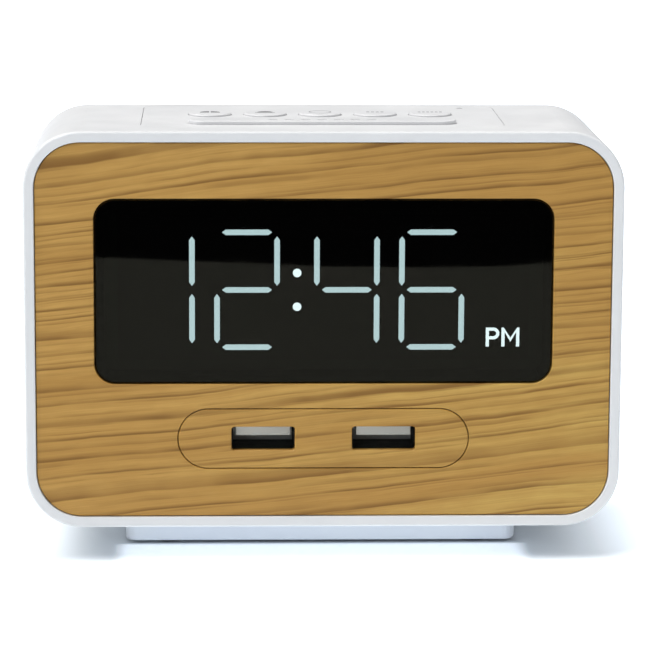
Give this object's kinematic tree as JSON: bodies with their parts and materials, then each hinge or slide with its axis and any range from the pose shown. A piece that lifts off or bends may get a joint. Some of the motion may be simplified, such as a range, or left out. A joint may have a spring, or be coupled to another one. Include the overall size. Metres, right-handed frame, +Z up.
{
  "type": "clock radio",
  "caption": "Bedside clock radio: rounded white sleeve, wood front with a smoked digit window and USB sockets, snooze bar and round keys on top, low foot.",
  "frame": {"origin": "centre of the footprint, on the surface the clock stands on", "axes": "+X to the right as seen from the front, +Y from the front to the back, +Z up; the display faces -Y"},
  "size_m": [0.122, 0.056, 0.0898],
  "materials": {
    "white_shell": "satin injection-moulded ABS",
    "wood": "satin lacquered honey-coloured veneer",
    "black_plastic": "black moulded ABS",
    "smoked_acrylic": "glossy smoked acrylic",
    "lit_diffuser": "pale cyan-white light from behind a milky diffuser",
    "dark_diffuser": "milky diffuser, unlit",
    "led": "surface-mounted LED",
    "board": "green solder-masked laminate",
    "chip": "black epoxy package with tinned leads",
    "capacitor": "aluminium can",
    "plated_steel": "nickel-plated steel",
    "tongue_plastic": "light grey thermoplastic",
    "gold_contact": "gold-plated phosphor bronze",
    "ferrite": "dark grey ferrite",
    "paper_cone": "black pressed paper",
    "screw_steel": "zinc-plated steel",
    "dark_screw": "black zinc-plated steel",
    "rubber_pad": "matt grey rubber",
    "copper_lead": "PVC-insulated wire",
    "ribbon": "flat flexible cable",
    "key_plastic": "satin injection-moulded ABS",
    "port_plastic": "ivory connector plastic"
  },
  "bodies": {
    "clock": {"sleeve": "white_shell", "wood_front": "wood", "front_carrier": "black_plastic", "display_window": "smoked_acrylic", "usb_plate": "wood", "top_panel": "white_shell", "rear_cover": "white_shell", "base_foot": "white_shell", "rubber_feet": "rubber_pad", "battery_holder": "black_plastic", "backup_cell": "plated_steel", "battery_contacts": "gold_contact", "battery_leads": "copper_lead", "display_housing": "black_plastic", "segments_lit": "lit_diffuser", "segments_unlit": "dark_diffuser", "colon_dots": "lit_diffuser", "pm_legend": "lit_diffuser", "led_chips": "led", "display_board": "board", "board_standoffs": "plated_steel", "control_board": "board", "control_chips": "chip", "control_capacitors": "capacitor", "power_board": "board", "power_chips": "chip", "power_capacitors": "capacitor", "power_inductor": "ferrite", "usb_shells": "plated_steel", "usb_tongues": "tongue_plastic", "usb_contacts": "gold_contact", "dc_jack": "black_plastic", "dc_jack_pin": "plated_steel", "slide_switch": "black_plastic", "speaker_basket": "plated_steel", "speaker_magnet": "ferrite", "speaker_cone": "paper_cone", "speaker_screws": "screw_steel", "speaker_leads": "copper_lead", "button_board": "board", "key_switches": "black_plastic", "ribbon_ports": "port_plastic", "ribbon_cables": "ribbon", "rear_screws": "dark_screw", "foot_screws": "screw_steel", "board_screws": "screw_steel"},
    "snooze": {"snooze_bar": "key_plastic", "snooze_plungers": "port_plastic"},
    "dimmer_key": {"dimmer_button": "key_plastic", "dimmer_plunger": "port_plastic"},
    "alarm_key": {"alarm_button": "key_plastic", "alarm_plunger": "port_plastic"},
    "radio_key": {"radio_button": "key_plastic", "radio_plunger": "port_plastic"},
    "hour_key": {"hour_button": "key_plastic", "hour_plunger": "port_plastic"},
    "minute_key": {"minute_button": "key_plastic", "minute_plunger": "port_plastic"},
    "door": {"battery_door": "white_shell"},
    "slider": {"dimmer_slider": "black_plastic"}
  },
  "joints": [
    {"name": "snooze_press", "type": "slide", "parent": "clock", "child": "snooze", "axis": [0, 0, -1], "range_m": [0, 0.0004], "stiffness_N_per_m": 400, "springref_m": -0.002},
    {"name": "dimmer_press", "type": "slide", "parent": "clock", "child": "dimmer_key", "axis": [0, 0, -1], "range_m": [0, 0.0004], "stiffness_N_per_m": 400, "springref_m": -0.002},
    {"name": "alarm_press", "type": "slide", "parent": "clock", "child": "alarm_key", "axis": [0, 0, -1], "range_m": [0, 0.0004], "stiffness_N_per_m": 400, "springref_m": -0.002},
    {"name": "radio_press", "type": "slide", "parent": "clock", "child": "radio_key", "axis": [0, 0, -1], "range_m": [0, 0.0004], "stiffness_N_per_m": 400, "springref_m": -0.002},
    {"name": "hour_press", "type": "slide", "parent": "clock", "child": "hour_key", "axis": [0, 0, -1], "range_m": [0, 0.0004], "stiffness_N_per_m": 400, "springref_m": -0.002},
    {"name": "minute_press", "type": "slide", "parent": "clock", "child": "minute_key", "axis": [0, 0, -1], "range_m": [0, 0.0004], "stiffness_N_per_m": 400, "springref_m": -0.002},
    {"name": "slider_slide", "type": "slide", "parent": "clock", "child": "slider", "axis": [1, 0, 0], "range_m": [0, 0.004]},
    {"name": "door_slide", "type": "slide", "parent": "clock", "child": "door", "axis": [0, 1, 0], "range_m": [0, 0.031]}
  ]
}
